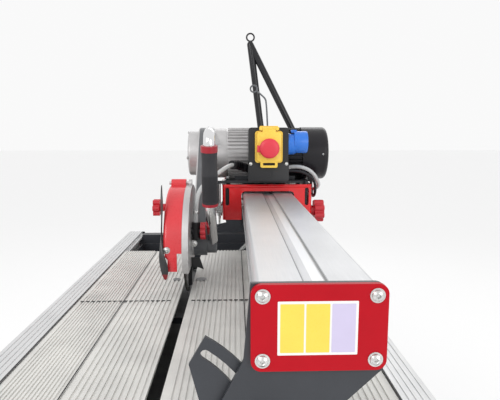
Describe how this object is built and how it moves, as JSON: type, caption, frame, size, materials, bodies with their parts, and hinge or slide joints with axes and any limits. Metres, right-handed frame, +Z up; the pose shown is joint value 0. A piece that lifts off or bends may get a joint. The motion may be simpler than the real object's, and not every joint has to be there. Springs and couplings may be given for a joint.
{
  "type": "wet tile saw",
  "caption": "Rail-type wet tile saw: motor head with guarded diamond blade rolls along a tilting bridge beam above a ribbed, slotted table with a water tray, folding legs and a cable mast.",
  "frame": {"origin": "on the floor under the middle of the machine's bounding box", "axes": "+Z up, +X to the operator's right, +Y along the bridge beam away from the operator"},
  "size_m": [0.69, 1.3999, 1.484],
  "materials": {
    "rail_aluminium": "satin anodised",
    "beam_aluminium": "light satin anodised",
    "charcoal_steel": "satin powder coat",
    "black_steel": "gloss powder coat",
    "red_steel": "gloss powder coat",
    "guard_red": "moulded gloss",
    "red_plastic": "moulded gloss",
    "zinc_steel": "zinc plated",
    "roller_steel": "ground",
    "core_steel": "laminated",
    "cast_silver": "cast",
    "case_grey": "satin paint",
    "chrome_tube": "polished",
    "table_grey": "ribbed matt",
    "charcoal_plastic": "moulded matt",
    "black_plastic": "moulded matt",
    "black_rubber": "matt",
    "skirt_rubber": "satin",
    "grip_rubber": "ribbed soft",
    "clear_hose": "clear flexible tube",
    "cowl_black": "satin",
    "switch_black": "moulded",
    "switch_yellow": "moulded",
    "inlet_blue": "moulded",
    "button_green": "moulded",
    "blade_steel": "ground with diamond rim"
  },
  "bodies": {
    "bench": {"side_rails": "rail_aluminium", "end_crossbeams": "charcoal_steel", "tilt_quadrants": "charcoal_steel", "water_tray": "charcoal_plastic", "table_panels": "table_grey", "table_bearers": "charcoal_steel", "fence_bars": "rail_aluminium", "leg_hinges": "charcoal_steel", "mast_post": "black_steel", "mast_stay": "black_steel", "water_pump": "black_plastic", "pump_hose": "clear_hose"},
    "near_leg_set": {"near_legs": "charcoal_steel", "near_feet": "black_rubber"},
    "far_leg_set": {"far_legs": "charcoal_steel", "far_feet": "black_rubber"},
    "bridge": {"bridge_beam": "beam_aluminium", "tilt_arms": "charcoal_steel", "end_plates": "red_steel", "hose_union": "black_plastic"},
    "near_clamp": {"near_clamp_knob": "black_plastic"},
    "far_clamp": {"far_clamp_knob": "black_plastic"},
    "carriage": {"carriage_shell": "red_steel", "roller_plates": "zinc_steel", "pivot_shaft": "zinc_steel", "depth_screw": "zinc_steel", "hose_clip": "black_plastic", "loop_hose": "clear_hose"},
    "front_roller_pair": {"front_rollers": "roller_steel"},
    "rear_roller_pair": {"rear_rollers": "roller_steel"},
    "plunge_lock": {"lock_knob": "red_plastic"},
    "head": {"head_frame": "charcoal_steel", "belt_case": "case_grey", "belt_cover": "cast_silver", "motor_bell": "cast_silver", "motor_housing": "cast_silver", "fan_cowl": "cowl_black", "stator": "core_steel", "bearings": "roller_steel", "drive_belt": "black_rubber", "guard_plate": "cast_silver", "handle_tube": "chrome_tube", "handle_grip": "grip_rubber", "tap_body": "black_plastic", "switch_box": "switch_black", "switch_housing": "switch_yellow", "power_inlet": "inlet_blue", "motor_lead": "black_rubber", "feed_hose": "clear_hose"},
    "blade_set": {"arbor": "zinc_steel", "saw_blade": "blade_steel", "blade_flanges": "zinc_steel"},
    "rotor_set": {"rotor": "core_steel", "cooling_fan": "black_plastic"},
    "cover": {"guard_cover": "guard_red", "guard_skirt": "skirt_rubber"},
    "cover_knob": {"guard_knob": "red_plastic"},
    "tap": {"tap_knob": "red_plastic"},
    "flap": {"switch_flap": "switch_yellow"},
    "start": {"start_button": "button_green"}
  },
  "joints": [
    {"name": "near_leg_fold", "type": "hinge", "parent": "bench", "child": "near_leg_set", "pos_m": [0, -0.56, 0.602], "axis": [1, 0, 0], "range_deg": [0, 101]},
    {"name": "far_leg_fold", "type": "hinge", "parent": "bench", "child": "far_leg_set", "pos_m": [0, 0.56, 0.602], "axis": [-1, 0, 0], "range_deg": [0, 101]},
    {"name": "bridge_tilt", "type": "hinge", "parent": "bench", "child": "bridge", "pos_m": [-0.057, 0, 0.74], "axis": [0, -1, 0], "range_deg": [0, 45], "deforming": ["pump_hose"]},
    {"name": "near_clamp_turn", "type": "hinge", "parent": "bridge", "child": "near_clamp", "pos_m": [0.09072, -0.645, 0.76605], "axis": [0, 1, 0], "continuous": true},
    {"name": "far_clamp_turn", "type": "hinge", "parent": "bridge", "child": "far_clamp", "pos_m": [0.09072, 0.645, 0.76605], "axis": [0, 1, 0], "continuous": true},
    {"name": "carriage_slide", "type": "slide", "parent": "bridge", "child": "carriage", "axis": [0, 1, 0], "range_m": [-0.52, 0.2], "deforming": ["loop_hose"]},
    {"name": "front_roller_turn", "type": "hinge", "parent": "carriage", "child": "front_roller_pair", "pos_m": [0.154, 0.222, 0.904], "axis": [1, 0, 0], "range_deg": [-2595.45, 2595.45]},
    {"name": "rear_roller_turn", "type": "hinge", "parent": "carriage", "child": "rear_roller_pair", "pos_m": [0.154, 0.366, 0.904], "axis": [1, 0, 0], "range_deg": [-2595.45, 2595.45]},
    {"name": "plunge_lock_turn", "type": "hinge", "parent": "carriage", "child": "plunge_lock", "pos_m": [0.3, 0.215, 0.89], "axis": [1, 0, 0], "continuous": true},
    {"name": "head_plunge", "type": "hinge", "parent": "carriage", "child": "head", "pos_m": [0, 0.372, 0.957], "axis": [-1, 0, 0], "range_deg": [0, 12], "deforming": ["feed_hose"]},
    {"name": "blade_spin", "type": "hinge", "parent": "head", "child": "blade_set", "pos_m": [-0.057, 0.038, 0.842], "axis": [1, 0, 0], "continuous": true},
    {"name": "rotor_spin", "type": "hinge", "parent": "head", "child": "rotor_set", "pos_m": [0, 0.3, 1.053], "axis": [1, 0, 0], "continuous": true},
    {"name": "cover_swing", "type": "hinge", "parent": "head", "child": "cover", "pos_m": [-0.08, 0.038, 0.99], "axis": [-1, 0, 0], "range_deg": [0, 40]},
    {"name": "cover_knob_turn", "type": "hinge", "parent": "cover", "child": "cover_knob", "pos_m": [-0.12, -0.034, 0.94], "axis": [1, 0, 0], "continuous": true},
    {"name": "tap_turn", "type": "hinge", "parent": "head", "child": "tap", "pos_m": [-0.016, -0.023, 0.881], "axis": [1, 0, 0], "range_deg": [0, 90]},
    {"name": "flap_lift", "type": "hinge", "parent": "head", "child": "flap", "pos_m": [0.152, 0.1225, 1.125], "axis": [-1, 0, 0], "range_deg": [0, 80]},
    {"name": "start_press", "type": "slide", "parent": "head", "child": "start", "axis": [0, 1, 0], "range_m": [0, 0.003], "stiffness_N_per_m": 600, "springref_m": -0.002}
  ],
  "couplings": [
    {"joint": "front_roller_turn", "follows": "carriage_slide", "rad_per_m": -85.47},
    {"joint": "rear_roller_turn", "follows": "carriage_slide", "rad_per_m": -85.47},
    {"joint": "rotor_spin", "follows": "blade_spin", "ratio": 0.675}
  ]
}
